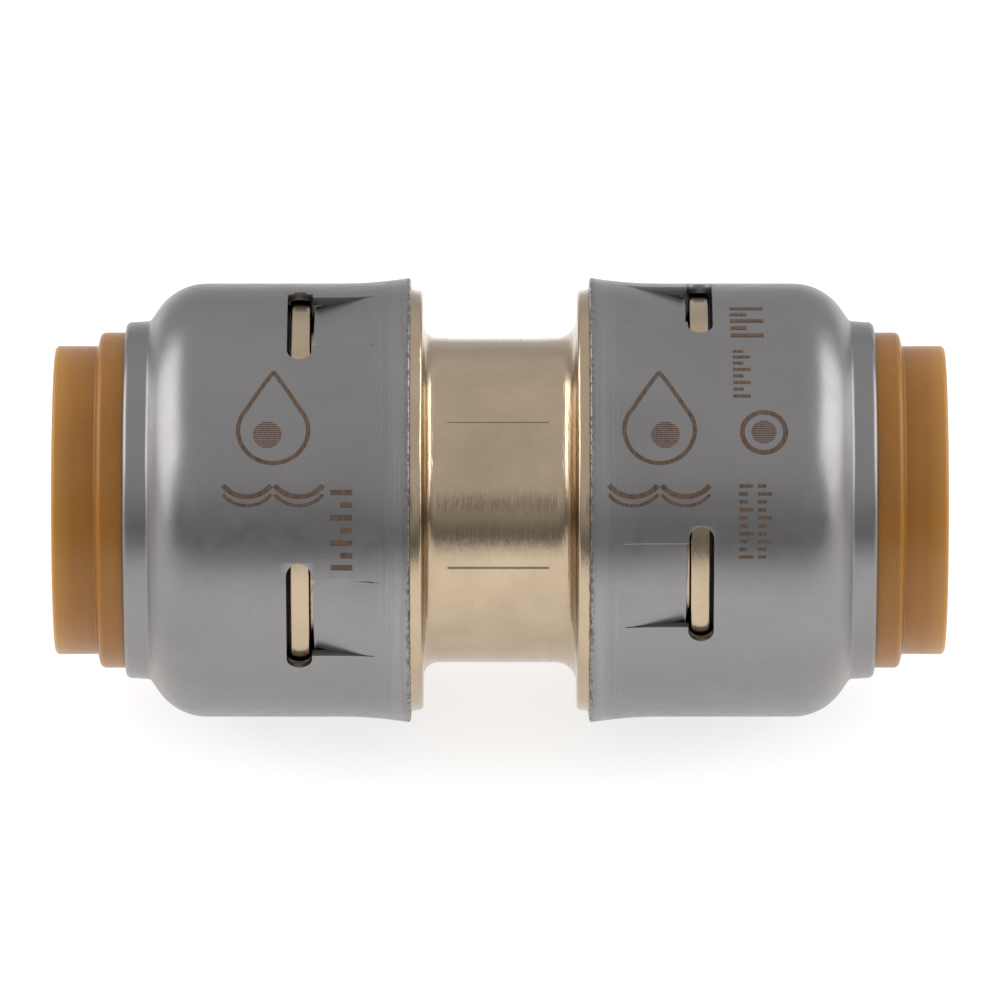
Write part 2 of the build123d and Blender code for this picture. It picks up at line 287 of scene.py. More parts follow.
class CouplingFinishes(PropertyGroup):
    """Colours and roughness of the finishes"""

    steel: colour("Steel", "Satin stainless sheet", (0.251, 0.243, 0.243))
    burr: colour("Burr", "Sheared edge of the stainless sheet", (0.07, 0.065, 0.06))
    brass: colour("Brass", "Turned lead-free brass", (0.505, 0.397, 0.28))
    tan: colour("Tan", "Moulded tan plastic of the collars", (0.325, 0.135, 0.016))
    # Painted light: the paler tan that stands for light through the collars' thin free end and its edge
    # highlight.
    tan_lit_end: colour("Tan lit end", "Painted light: the collars' plastic made paler at the thin free end", (0.47, 0.235, 0.045))
    grey: colour("Grey", "Glass-filled plastic of the inner rings", (0.12, 0.125, 0.13))
    black: colour("Black", "Seal rubber", (0.012, 0.012, 0.013))
    natural: colour("Natural", "Undyed plastic of the liners", (0.62, 0.60, 0.54))
    spring: colour("Spring", "Bright spring steel", (0.56, 0.55, 0.53))
    etch: colour("Etch", "Laser etching", (0.075, 0.042, 0.024))
    steel_roughness: FloatProperty(
        name="Steel roughness", description="How satin the sleeves are", default=0.33, subtype="FACTOR"
    )
    brass_roughness: FloatProperty(
        name="Brass roughness", description="How dull the turned brass is", default=0.19, subtype="FACTOR"
    )


class CouplingStudio(PropertyGroup):
    """The floor, the light and the camera"""

    floor_drop: length("Floor drop", "How far the floor is below the pipe axis", 13.6)
    floor_size: FloatProperty(
        name="Floor size", description="Width of the floor", default=6.0, unit="LENGTH", subtype="DISTANCE"
    )
    floor_colour: colour("Floor colour", "The pale floor", (0.5, 0.5, 0.5))
    floor_glow: FloatProperty(
        name="Floor glow", description="Light that the floor gives by itself", default=0.74, min=0.0
    )
    sky_low: FloatProperty(name="Sky low", description="Light level at the horizon", default=0.15, min=0.0)
    sky_high: FloatProperty(name="Sky high", description="Light level overhead", default=0.71, min=0.0)
    backdrop: FloatProperty(name="Backdrop", description="Light added by the backdrop", default=0.5, min=0.0)
    camera_stand: FloatProperty(
        name="Camera stand", description="Share of light left where the camera stands", default=0.34, min=0.0
    )
    key_power: FloatProperty(
        name="Key power", description="Power of the softbox overhead", default=0.05, min=0.0
    )
    side_power: FloatProperty(
        name="Side power", description="Power of each side softbox", default=4.5, min=0.0
    )
    camera_distance: FloatProperty(
        name="Camera distance",
        description="From the camera to the coupling",
        default=0.8,
        unit="LENGTH",
        subtype="DISTANCE",
    )
    camera_rise: turn_angle("Camera rise", "How far above level the camera looks from", 30.0)
    lens: FloatProperty(
        name="Lens", description="Focal length", default=0.4737, unit="LENGTH", subtype="DISTANCE"
    )


# ---------------------------------------------------------------- hand tools

TURN_STEPS = 240
TINY = 1e-7


def deselect_all():
    """Leaves nothing selected, so that the next operator acts only on what it is given."""
    if bpy.context.object and bpy.context.object.mode != "OBJECT":
        bpy.ops.object.mode_set(mode="OBJECT")
    bpy.ops.object.select_all(action="DESELECT")


def pick_up(piece):
    """Makes a piece the only selected and active object."""
    deselect_all()
    piece.select_set(True)
    bpy.context.view_layer.objects.active = piece


def edit_all(piece):
    """Opens a piece in edit mode with everything on it selected."""
    pick_up(piece)
    bpy.ops.object.mode_set(mode="EDIT")
    bpy.ops.mesh.select_all(action="SELECT")


def choose(piece, kind, test):
    """In edit mode, selects only the vertices, edges or faces that pass the test, and counts them."""
    bpy.context.tool_settings.mesh_select_mode = (kind == "verts", kind == "edges", kind == "faces")
    bpy.ops.mesh.select_all(action="DESELECT")
    mesh = bmesh.from_edit_mesh(piece.data)
    passing = [element for element in getattr(mesh, kind) if test(element)]
    for element in passing:
        element.select_set(True)
    mesh.select_flush_mode()
    bmesh.update_edit_mesh(piece.data)
    return len(passing)


def radius_at(point):
    """How far a point is from the pipe axis."""
    return math.hypot(point.y, point.z)


def draw_outline(name, corners, closed=True):
    """Draws an outline in the XZ plane from corners (x, radius, rounding), and stays in edit mode."""
    deselect_all()
    bpy.ops.mesh.primitive_plane_add(size=MM, location=CENTRE)
    piece = bpy.context.object
    piece.name = name
    piece.data.name = name
    bpy.ops.object.mode_set(mode="EDIT")
    bpy.context.tool_settings.mesh_select_mode = (True, False, False)
    bpy.ops.mesh.select_all(action="SELECT")
    bpy.ops.mesh.merge(type="CENTER")
    x, z = corners[0][:2]
    bpy.ops.transform.translate(value=(x, 0, z))
    for corner in list(corners[1:]) + ([corners[0]] if closed else []):
        step = (corner[0] - x, 0, corner[1] - z)
        bpy.ops.mesh.extrude_region_move(TRANSFORM_OT_translate={"value": step})
        x, z = corner[:2]
    bpy.ops.mesh.select_all(action="SELECT")
    bpy.ops.mesh.remove_doubles(threshold=TINY)
    for number, corner in enumerate(corners):
        if len(corner) > 2 and corner[2]:
            after = corners[(number + 1) % len(corners)]
            round_corner(piece, corners[number - 1], corner, after)
    return piece


def round_corner(piece, before, corner, after):
    """Rounds one corner of an outline to its radius, with a step about every nine degrees."""
    into = math.atan2(corner[1] - before[1], corner[0] - before[0])
    out = math.atan2(after[1] - corner[1], after[0] - corner[0])
    turn = abs((out - into + math.pi) % (2 * math.pi) - math.pi)
    choose(
        piece, "verts", lambda vert: math.hypot(vert.co.x - corner[0], vert.co.z - corner[1]) < 5 * TINY
    )
    bpy.ops.mesh.bevel(
        offset=corner[2] * math.tan(turn / 2),
        segments=max(2, round(math.degrees(turn) / 9)),
        affect="VERTICES",
        clamp_overlap=False,
    )


def turn_outline(steps=TURN_STEPS, angle=2 * math.pi):
    """Turns the outline about the pipe axis and points its faces outwards."""
    bpy.ops.mesh.select_all(action="SELECT")
    bpy.ops.mesh.spin(steps=steps, angle=angle, center=CENTRE, axis=AXIS)
    bpy.ops.mesh.select_all(action="SELECT")
    bpy.ops.mesh.remove_doubles(threshold=TINY)
    bpy.ops.mesh.normals_make_consistent(inside=False)


def roll(angle):
    """Rolls what is selected about the pipe axis, from +Y over the top towards -Y."""
    bpy.ops.transform.rotate(value=-angle, orient_axis="X", center_override=CENTRE)


def add_cutter(location, scale):
    """Adds a block at its size and place, to be cut out of a sheet."""
    bpy.ops.mesh.select_all(action="DESELECT")
    bpy.ops.mesh.primitive_cube_add(size=1, location=location, scale=scale)


def round_cutter(piece, width, segments, is_end):
    """Rounds the ends of a cutter to nearly half a circle, which keeps a face between its arcs."""
    choose(piece, "edges", is_end)
    bpy.ops.mesh.bevel(
        offset=width / 2 * 0.998, segments=segments, affect="EDGES", clamp_overlap=False
    )


def punch_out(piece, off_sheet, in_hole, on_rim, merge):
    """Cuts a sheet along its cutters, deletes them with the scrap, and merges short edges at the rims."""
    choose(piece, "faces", off_sheet)
    bpy.ops.mesh.intersect(
        mode="SELECT_UNSELECT", separate_mode="NONE", threshold=TINY / 10, solver="EXACT"
    )
    choose(piece, "faces", lambda face: off_sheet(face) or in_hole(face))
    bpy.ops.mesh.delete(type="FACE")
    choose(piece, "verts", lambda vert: vert.is_boundary and on_rim(vert))
    bpy.ops.mesh.remove_doubles(threshold=merge)


def repeat_around(count):
    """Copies one sector of a sheet around the axis until the ring is whole, with its face outwards."""
    bpy.ops.mesh.select_all(action="SELECT")
    for _ in range(count - 1):
        bpy.ops.mesh.duplicate()
        roll(2 * math.pi / count)
    bpy.ops.mesh.select_all(action="SELECT")
    bpy.ops.mesh.remove_doubles(threshold=2 * TINY)
    bpy.ops.mesh.normals_make_consistent(inside=False)


def flip_if(piece, test):
    """Turns a sheet over if the test says that its first face looks the wrong way."""
    mesh = bmesh.from_edit_mesh(piece.data)
    mesh.faces.ensure_lookup_table()
    mesh.normal_update()
    if test(mesh.faces[0]):
        bpy.ops.mesh.select_all(action="SELECT")
        bpy.ops.mesh.flip_normals()


def mirror_copy(piece, name):
    """A copy of a right-hand piece, with its own mesh, mirrored to the left end."""
    pick_up(piece)
    bpy.ops.object.duplicate()
    copy = bpy.context.object
    copy.name = name
    copy.data.name = name
    edit_all(copy)
    bpy.ops.transform.resize(value=(-1, 1, 1), center_override=CENTRE)
    bpy.ops.mesh.flip_normals()
    bpy.ops.object.mode_set(mode="OBJECT")
    return copy


def apply_modifier(piece, kind, **settings):
    """Adds a modifier, sets it and applies it."""
    pick_up(piece)
    modifier = piece.modifiers.new(kind.title(), kind)
    for key, value in settings.items():
        setattr(modifier, key, value)
    bpy.ops.object.modifier_apply(modifier=modifier.name)


def soften_edges(piece, width, degrees):
    """Rounds every edge that turns more than this."""
    apply_modifier(
        piece,
        "BEVEL",
        width=width,
        segments=2,
        limit_method="ANGLE",
        angle_limit=math.radians(degrees),
        use_clamp_overlap=False,
    )


def finish_piece(piece, node, material, body=None):
    """Shades a piece, gives it its finish, and puts it in the place of its node."""
    pick_up(piece)
    bpy.ops.object.shade_smooth_by_angle(angle=math.radians(32))
    apply_modifier(piece, "WEIGHTED_NORMAL", keep_sharp=True, weight=80)
    piece.data.materials.clear()
    piece.data.materials.append(material)
    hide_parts(node)
    if body:
        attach(piece, body)
    return piece


def turned_pair(node, corners, material, bodies):
    """A turned ring at each end: one is modelled, and the other is its mirrored copy."""
    right = draw_outline(f"right_{node}_piece", corners)
    turn_outline()
    bpy.ops.object.mode_set(mode="OBJECT")
    left = mirror_copy(right, f"left_{node}_piece")
    for side, piece in (("right", right), ("left", left)):
        finish_piece(piece, f"{side}_{node}", material, bodies.format(side=side))
    return right, left


# ---------------------------------------------------------------- finishes


class Finish:
    """A node material for one finish, with short ways to add what its surface shows."""

    def __init__(self, name, **shader_values):
        self.material = bpy.data.materials.new(name)
        self.material.use_nodes = True
        self.tree = self.material.node_tree
        self.shader = self.tree.nodes["Principled BSDF"]
        for key, value in shader_values.items():
            self.shader.inputs[key.replace("_", " ")].default_value = value
        self.place = self.add("ShaderNodeTexCoord").outputs["Object"]

    def add(self, kind, inputs=None, **settings):
        node = self.tree.nodes.new(kind)
        for key, value in settings.items():
            setattr(node, key, value)
        for key, value in (inputs or {}).items():
            self.feed(node.inputs[key], value)
        return node

    def feed(self, socket, value):
        """Links an output to a socket, or sets the socket's own value."""
        if isinstance(value, bpy.types.NodeSocket):
            self.tree.links.new(value, socket)
        else:
            socket.default_value = value

    def math(self, operation, first, second=0.0, clamp=False):
        node = self.add("ShaderNodeMath", {0: first, 1: second}, operation=operation, use_clamp=clamp)
        return node.outputs[0]

    def noise(self, size, detail=3.0, roughness=0.5, stretch=(1.0, 1.0, 1.0)):
        """Noise whose grains are about this large, in metres, stretched along the axes."""
        scaled = self.add(
            "ShaderNodeMapping", {"Vector": self.place, "Scale": tuple(1 / (size * s) for s in stretch)}
        )
        return self.add(
            "ShaderNodeTexNoise",
            {"Vector": scaled.outputs[0], "Scale": 1.0, "Detail": detail, "Roughness": roughness},
        ).outputs[0]

    def spread(self, value, low, high, start=0.0, end=1.0):
        """Maps a value between two limits onto a new range."""
        return self.add(
            "ShaderNodeMapRange", {0: value, 1: low, 2: high, 3: start, 4: end}, clamp=True
        ).outputs[0]

    def tone(self, value, shade, dark, pale):
        """A colour that drifts between darker and paler with a noise."""
        return self.blend_colours(self.spread(value, 0.3, 0.7), rgba(shade, dark), rgba(shade, pale))

    def blend_colours(self, share, first, second):
        node = self.add("ShaderNodeMix", data_type="RGBA")
        self.feed(node.inputs[0], share)
        self.feed(node.inputs[6], first)
        self.feed(node.inputs[7], second)
        return node.outputs[2]

    def along(self, axis):
        """A coordinate of the surface, in metres."""
        return self.add("ShaderNodeSeparateXYZ", {0: self.place}).outputs["XYZ".index(axis)]

    def relief(self, height, depth, strength=1.0, under=None):
        """Bump from a height between 0 and 1, with its depth in metres, on top of another bump."""
        node = self.add("ShaderNodeBump", {"Height": height, "Distance": depth, "Strength": strength})
        if under:
            self.feed(node.inputs["Normal"], under)
        return node.outputs[0]

    def set(self, **links):
        for key, value in links.items():
            self.feed(self.shader.inputs[key.replace("_", " ")], value)
        return self.material


def rgba(value, gain=1.0):
    return (*(min(1.0, channel * gain) for channel in value), 1.0)


def finishes():
    return bpy.context.scene.coupling_finishes


def stored(name, make):
    """A finish is made once, and later pieces share it."""
    return bpy.data.materials.get(name) or make(name)


def satin_stainless(name):
    """Drawn and tumbled sheet: fine satin grain, faint draw lines, rubbed patches, a dark sheared lip, and a
    painted highlight band on the flare near the lip.
    """
    look = finishes()
    sleeve = bpy.context.scene.coupling_sleeve
    finish = Finish(name, Metallic=1.0)
    grain = finish.noise(0.09 * MM, 4.0, 0.6)
    draw = finish.noise(0.12 * MM, 3.0, 0.55, (60.0, 1.0, 1.0))
    cloud = finish.noise(5.0 * MM, 3.0, 0.5, (1.8, 1.0, 1.0))
    rub = finish.noise(1.1 * MM, 5.0, 0.65)
    tone = finish.tone(cloud, look.steel, 0.9, 1.08)
    tone = finish.blend_colours(finish.spread(grain, 0.35, 0.7), tone, rgba(look.steel, 1.1))
    from_centre = finish.math("ABSOLUTE", finish.along("X"))
    edge = finish.spread(from_centre, sleeve.lip - 0.02 * MM, sleeve.lip + 0.3 * MM, 1.0, 0.0)
    pits = finish.spread(finish.noise(0.15 * MM, 2.0, 0.5, (1.0, 2.2, 2.2)), 0.46, 0.6, 0.0, 0.85)
    torn = finish.math("MULTIPLY", edge, pits, True)
    drawn = finish.spread(from_centre, sleeve.lip + 0.4 * MM, sleeve.lip + 2.6 * MM, 1.0, 0.0)
    rings = finish.spread(finish.noise(0.16 * MM, 2.0, 0.5, (1.0, 60.0, 60.0)), 0.4, 0.68)
    tone = finish.blend_colours(
        finish.math("MULTIPLY", drawn, rings, True), tone, rgba(look.steel, 1.22)
    )
    # Painted highlight: a band of lighter steel on the flare just past the lip, where a bright reflection
    # falls.
    flare = finish.math("ABSOLUTE", finish.math("SUBTRACT", from_centre, sleeve.lip + 0.75 * MM))
    tone = finish.blend_colours(
        finish.spread(flare, 0.1 * MM, 0.4 * MM, 0.4, 0.0), tone, rgba(look.steel, 1.3)
    )
    tone = finish.blend_colours(torn, tone, rgba(look.burr))
    rough = finish.math(
        "ADD",
        finish.spread(rub, 0.3, 0.7, look.steel_roughness - 0.04, look.steel_roughness + 0.05),
        finish.math("MULTIPLY", torn, 0.3),
        True,
    )
    relief = finish.relief(draw, 0.0022 * MM)
    relief = finish.relief(grain, 0.0035 * MM, 1.0, relief)
    return finish.set(Base_Color=tone, Roughness=rough, Normal=relief)


def turned_brass(name):
    """Turned brass: fine tool rings around the axis, a few deeper ones, and soft tarnish."""
    look = finishes()
    finish = Finish(name, Metallic=1.0)
    rings = finish.noise(0.07 * MM, 3.0, 0.6, (1.0, 900.0, 900.0))
    broad = finish.noise(0.5 * MM, 2.0, 0.5, (1.0, 120.0, 120.0))
    chatter = finish.noise(0.16 * MM, 1.0, 0.5, (1.0, 5.0, 5.0))
    cloud = finish.noise(3.0 * MM, 4.0, 0.6)
    spots = finish.noise(0.35 * MM, 4.0, 0.6)
    tone = finish.blend_colours(
        finish.spread(cloud, 0.3, 0.72), rgba(look.brass, 0.9), rgba(look.brass, 1.06)
    )
    tone = finish.blend_colours(
        finish.spread(spots, 0.62, 0.75, 0.0, 0.35), tone, rgba(look.brass, 0.62)
    )
    rough = finish.spread(rings, 0.3, 0.7, look.brass_roughness - 0.05, look.brass_roughness + 0.08)
    feed = finish.math("SINE", finish.math("MULTIPLY", finish.along("X"), math.tau / (0.165 * MM)))
    relief = finish.relief(broad, 0.004 * MM)
    relief = finish.relief(chatter, 0.012 * MM, 1.0, relief)
    relief = finish.relief(finish.spread(feed, -1.0, 1.0), 0.0022 * MM, 1.0, relief)
    relief = finish.relief(rings, 0.0022 * MM, 1.0, relief)
    return finish.set(Base_Color=tone, Roughness=rough, Normal=relief)


def tan_plastic(name):
    """Moulded plastic: tan with flow marks, and painted light at the free end, paler for the light through
    the thin wall and the edge's highlight.
    """
    look = finishes()
    end = bpy.context.scene.coupling_collar.end
    finish = Finish(
        name,
        Subsurface_Weight=0.35,
        Subsurface_Radius=(1.0, 0.55, 0.25),
        Subsurface_Scale=0.9 * MM,
        IOR=1.5,
        Specular_IOR_Level=0.4,
    )
    flow = finish.noise(4.0 * MM, 3.0, 0.5, (0.6, 1.0, 1.0))
    fine = finish.noise(0.12 * MM, 3.0, 0.6)
    rings = finish.noise(0.1 * MM, 2.0, 0.5, (1.0, 400.0, 400.0))
    tone = finish.tone(flow, look.tan, 0.93, 1.05)
    from_centre = finish.math("ABSOLUTE", finish.along("X"))
    # Painted light: the last 1.3 mm towards the free end turn paler, for light through the thin wall and the
    # edge's highlight.
    tone = finish.blend_colours(
        finish.spread(from_centre, end - 1.3 * MM, end, 0.0, 0.9), tone, rgba(look.tan_lit_end)
    )
    rough = finish.spread(fine, 0.3, 0.7, 0.3, 0.42)
    relief = finish.relief(rings, 0.0025 * MM)
    relief = finish.relief(fine, 0.002 * MM, 1.0, relief)
    return finish.set(Base_Color=tone, Roughness=rough, Normal=relief)


def glass_filled_plastic(name):
    """Grey plastic with glass fibres that show as short pale flecks."""
    look = finishes()
    finish = Finish(name, IOR=1.5)
    fibres = finish.noise(0.06 * MM, 2.0, 0.5, (7.0, 1.0, 2.0))
    cloud = finish.noise(2.5 * MM, 3.0, 0.5)
    tone = finish.tone(cloud, look.grey, 0.85, 1.1)
    tone = finish.blend_colours(finish.spread(fibres, 0.6, 0.75, 0.0, 0.5), tone, rgba(look.grey, 2.4))
    rough = finish.spread(fibres, 0.3, 0.7, 0.42, 0.6)
    return finish.set(Base_Color=tone, Roughness=rough, Normal=finish.relief(fibres, 0.004 * MM))


def seal_rubber(name):
    """Black rubber with a fine matt skin and a trace of assembly grease."""
    look = finishes()
    finish = Finish(name, IOR=1.5)
    skin = finish.noise(0.08 * MM, 4.0, 0.6)
    grease = finish.noise(2.2 * MM, 3.0, 0.55)
    tone = finish.tone(skin, look.black, 1.0, 1.9)
    rough = finish.spread(grease, 0.4, 0.6, 0.3, 0.55)
    return finish.set(Base_Color=tone, Roughness=rough, Normal=finish.relief(skin, 0.005 * MM))


def natural_plastic(name):
    """Undyed plastic: off-white, slightly see-through, with faint flow clouds."""
    look = finishes()
    finish = Finish(
        name,
        Subsurface_Weight=0.4,
        Subsurface_Radius=(1.0, 0.9, 0.7),
        Subsurface_Scale=0.8 * MM,
        IOR=1.53,
    )
    flow = finish.noise(3.0 * MM, 3.0, 0.5, (1.6, 1.0, 1.0))
    fine = finish.noise(0.15 * MM, 3.0, 0.6)
    tone = finish.tone(flow, look.natural, 0.92, 1.04)
    rough = finish.spread(fine, 0.3, 0.7, 0.32, 0.45)
    return finish.set(Base_Color=tone, Roughness=rough, Normal=finish.relief(fine, 0.002 * MM))


def spring_steel(name):
    """Stamped strip: rolled lines across it and lightly tumbled edges."""
    look = finishes()
    finish = Finish(name, Metallic=1.0)
    rolled = finish.noise(0.07 * MM, 3.0, 0.6, (1.0, 40.0, 1.0))
    cloud = finish.noise(1.6 * MM, 4.0, 0.6)
    tone = finish.tone(cloud, look.spring, 0.85, 1.08)
    rough = finish.spread(rolled, 0.3, 0.7, 0.2, 0.34)
    return finish.set(Base_Color=tone, Roughness=rough, Normal=finish.relief(rolled, 0.0015 * MM))


def laser_etching(name):
    """Burnt brown marking, ruled by the laser's passes and uneven in depth."""
    look = finishes()
    finish = Finish(name, Metallic=0.35)
    passes = finish.noise(0.05 * MM, 1.0, 0.5, (1.0, 30.0, 30.0))
    burn = finish.noise(0.22 * MM, 3.0, 0.6)
    tone = finish.blend_colours(finish.spread(burn, 0.35, 0.65), rgba(look.etch), rgba(look.etch, 2.1))
    tone = finish.blend_colours(
        finish.spread(passes, 0.5, 0.62, 0.0, 0.45), tone, rgba(look.steel, 0.62)
    )
    rough = finish.spread(burn, 0.3, 0.7, 0.5, 0.7)
    return finish.set(Base_Color=tone, Roughness=rough, Normal=finish.relief(passes, 0.003 * MM))


# ---------------------------------------------------------------- shapes that several pieces follow


def shoulder_line_x(sleeve, radius, depth):
    """Where a face this deep inside the sleeve's conical shoulder has this radius."""
    slope = sleeve.shoulder_turn
    start = sleeve.shoulder + sleeve.shoulder_radius * math.sin(slope)
    start_radius = sleeve.radius - sleeve.shoulder_radius * (1 - math.cos(slope))
    return start + (start_radius - depth / math.cos(slope) - radius) / math.tan(slope)


def bend_points(x, radius, bend, turn, steps):
    """Points around an outward bend that starts level at x and falls towards the axis."""
    return [
        (
            x + bend * math.sin(turn * step / steps),
            radius - bend + bend * math.cos(turn * step / steps),
        )
        for step in range(steps + 1)
    ]


# ---------------------------------------------------------------- operators


class COUPLING_OT_brass_body(Operator):
    """Turns the brass body, with the prints that the chuck's three jaws leave on its neck"""

    bl_idname = "coupling.brass_body"
    bl_label = "Brass Body"

    def end_corners(self, size, fillet):
        """One end's outline, from the pipe stop round to the neck."""
        return [
            (size.stop_half, size.stop_radius, 0.15 * MM),
            (size.stop_half, size.pipe_bore),
            (size.seal_bore_start - size.lead_in, size.pipe_bore),
            (size.seal_bore_start, size.pipe_bore + size.lead_in),
            (size.seal_bore_start, size.seal_bore),
            (size.end - size.lead_in, size.seal_bore),
            (size.end, size.seal_bore + size.lead_in),
            (size.end, size.land_radius, size.land_corner),
            (size.land_start, size.land_radius, 0.06 * MM),
            (size.land_start, size.groove_radius, 0.1 * MM),
            (size.seat_end, size.groove_radius, 0.1 * MM),
            (size.seat_end, size.seat_end_radius, 0.06 * MM),
            (size.seat_start, size.seat_start_radius),
            (size.flange_edge, size.flange_radius, 0.08 * MM),
            (size.flange_face, size.flange_radius, size.flange_corner),
            (size.flange_face, size.neck_radius, fillet),
        ]

    def execute(self, context):
        size = context.scene.coupling_body
        right = self.end_corners(size, size.right_fillet)
        left = [(-corner[0], *corner[1:]) for corner in self.end_corners(size, size.left_fillet)]
        rim = 0.11 * MM
        prints = [
            (size.print_right + rim, size.neck_radius),
            (size.print_right, size.neck_radius),
            (-size.print_left, size.neck_radius),
            (-size.print_left - rim, size.neck_radius),
        ]
        piece = draw_outline("brass_body_piece", right + prints + left[::-1])
        turn_outline()

        step = math.radians(0.25)

        def on_neck(element, slack):
            spots = [vert.co for vert in element.verts] if hasattr(element, "verts") else [element.co]
            return all(
                abs(radius_at(spot) - size.neck_radius) < 2e-6
                and -size.print_left - slack < spot.x < size.print_right + slack
                for spot in spots
            )

        for jaw in range(3):
            for sign in (-1, 1):
                for past in (0.0, step, 2 * step):
                    angle = size.print_turn + jaw * math.tau / 3 + sign * (size.print_gap / 2 + past)
                    choose(piece, "faces", lambda face: on_neck(face, rim + 5 * TINY))
                    bpy.ops.mesh.bisect(
                        plane_co=CENTRE,
                        plane_no=(0, math.sin(angle), math.cos(angle)),
                        threshold=TINY / 10,
                    )

        def past_gap(vert):
            around = math.atan2(vert.co.z, -vert.co.y) - size.print_turn
            return abs((around + math.pi / 3) % (2 * math.pi / 3) - math.pi / 3) - size.print_gap / 2

        for depth, reach in ((size.print_nick, 1.5 * step), (size.print_depth, math.pi)):
            if not choose(
                piece, "verts", lambda vert: on_neck(vert, 5 * TINY) and step / 2 < past_gap(vert) < reach
            ):
                raise RuntimeError("the neck has no place for the chuck's prints")
            pressed = 1 - depth / size.neck_radius
            bpy.ops.transform.resize(value=(1, pressed, pressed), center_override=CENTRE)
        bpy.ops.object.mode_set(mode="OBJECT")
        finish_piece(piece, "brass_body", stored("turned_brass", turned_brass), "body")
        return {"FINISHED"}


class COUPLING_OT_sleeves(Operator):
    """Draws one stainless sleeve, punches its slots, lances its tabs, and copies it to the other end"""

    bl_idname = "coupling.sleeves"
    bl_label = "Stainless Sleeves"

    def outline(self, size):
        """The outer surface from the lip to the mouth."""
        reach = size.flare_end - size.lip
        rise = size.lip_radius - size.radius
        flare = (reach**2 + rise**2) / (2 * rise)
        corners = []
        for step in range(9):
            x = size.lip + reach * step / 8
            corners.append((x, size.radius + flare - math.sqrt(flare**2 - (size.flare_end - x) ** 2)))
        corners += [(x * MM, size.radius) for x in (10.3, 10.8, 11.1, 13.2, 14.7, 16.2)]
        corners += bend_points(size.shoulder, size.radius, size.shoulder_radius, size.shoulder_turn, 11)
        root = shoulder_line_x(size, size.nose_radius, 0.0)
        corners += [(root, size.nose_radius, size.nose_fillet), (size.mouth, size.mouth_radius)]
        return corners

    def punch(self, piece, size):
        """Cuts the slot and the two shear lines of a tab out of the sector."""
        middle = (size.slot_start + size.slot_end) / 2
        width = size.slot_end - size.slot_start
        across = 2 * size.radius * math.sin(size.slot_arc / 2)
        half_straight = across / 2 - width / 2
        shear_y = size.radius * math.sin(size.tab_arc / 2) + size.shear / 2
        tall = 3 * MM
        slack = 0.004 * MM

        height = size.radius - 0.2 * MM
        add_cutter((middle, 0, height), (width, across, tall))
        round_cutter(
            piece, width, 14, lambda edge: abs(edge.verts[0].co.z - edge.verts[1].co.z) > 0.9 * tall
        )
        for sign in (-1, 1):
            add_cutter(
                ((size.tab_root + middle) / 2, sign * shear_y, height),
                (middle - size.tab_root, size.shear, tall),
            )

        def off_sheet(face):
            return any(
                vert.co.x < size.slot_end + MM and abs(radius_at(vert.co) - size.radius) > 0.6 * MM
                for vert in face.verts
            )

        def in_hole(face):
            spots = [vert.co for vert in face.verts]
            in_slot = all(
                math.hypot(spot.x - middle, max(abs(spot.y) - half_straight, 0)) < width / 2 + slack
                for spot in spots
            )
            in_shear = all(
                abs(abs(spot.y) - shear_y) < size.shear / 2 + slack
                and size.tab_root - slack < spot.x < middle + slack
                for spot in spots
            )
            return in_slot or in_shear

        punch_out(piece, off_sheet, in_hole, lambda vert: vert.co.x < size.slot_end + MM, 0.015 * MM)

    def bend_tab(self, piece, size):
        """Bends the tab in from its root, a little at each step, until its free end is down."""
        half = size.radius * math.sin(size.tab_arc / 2) + size.shear * 0.25
        length_out = size.slot_start - size.tab_root
        steps = 5
        each = math.asin(size.tab_drop / length_out) * 1.17 / steps
        for step in range(steps):
            root = size.tab_root + step * 0.24 * MM
            choose(
                piece,
                "verts",
                lambda vert: abs(vert.co.y) < half and root + TINY < vert.co.x < size.slot_start + 0.02 * MM,
            )
            bpy.ops.transform.rotate(
                value=-each, orient_axis="Y", center_override=(root, 0, size.radius + 0.05 * MM)
            )

    def execute(self, context):
        size = context.scene.coupling_sleeve
        right = draw_outline("right_outer_sleeve_piece", self.outline(size), closed=False)
        turn_outline(96, math.pi / 2)
        roll(math.pi / 4)
        self.punch(right, size)
        self.bend_tab(right, size)
        repeat_around(size.slots)
        flip_if(right, lambda face: face.normal.yz.dot(face.calc_center_median().yz) < 0)
        bpy.ops.object.mode_set(mode="OBJECT")
        apply_modifier(
            right,
            "SOLIDIFY",
            thickness=size.sheet,
            offset=-1,
            use_even_offset=True,
            use_quality_normals=True,
        )
        edit_all(right)
        choose(
            right,
            "edges",
            lambda edge: all(
                vert.co.x > size.mouth - 0.1 * MM and radius_at(vert.co) > size.mouth_radius - 0.1 * MM
                for vert in edge.verts
            ),
        )
        bpy.ops.mesh.bevel(offset=size.mouth_corner, segments=6, affect="EDGES", clamp_overlap=False)
        choose(
            right,
            "edges",
            lambda edge: all(vert.co.x < size.lip + TINY * 10 for vert in edge.verts)
            and abs(radius_at(edge.verts[0].co) - radius_at(edge.verts[1].co)) < 0.1 * MM,
        )
        bpy.ops.mesh.bevel(offset=0.12 * MM, segments=3, affect="EDGES", clamp_overlap=False)
        bpy.ops.object.mode_set(mode="OBJECT")
        soften_edges(right, size.edge, 48)
        left = mirror_copy(right, "left_outer_sleeve_piece")
        steel = stored("satin_stainless", satin_stainless)
        for side, piece, angle in (("right", right, size.right_clocking), ("left", left, size.left_clocking)):
            edit_all(piece)
            roll(angle)
            bpy.ops.object.mode_set(mode="OBJECT")
            finish_piece(piece, f"{side}_outer_sleeve", steel, f"{side}_sleeve")
        return {"FINISHED"}


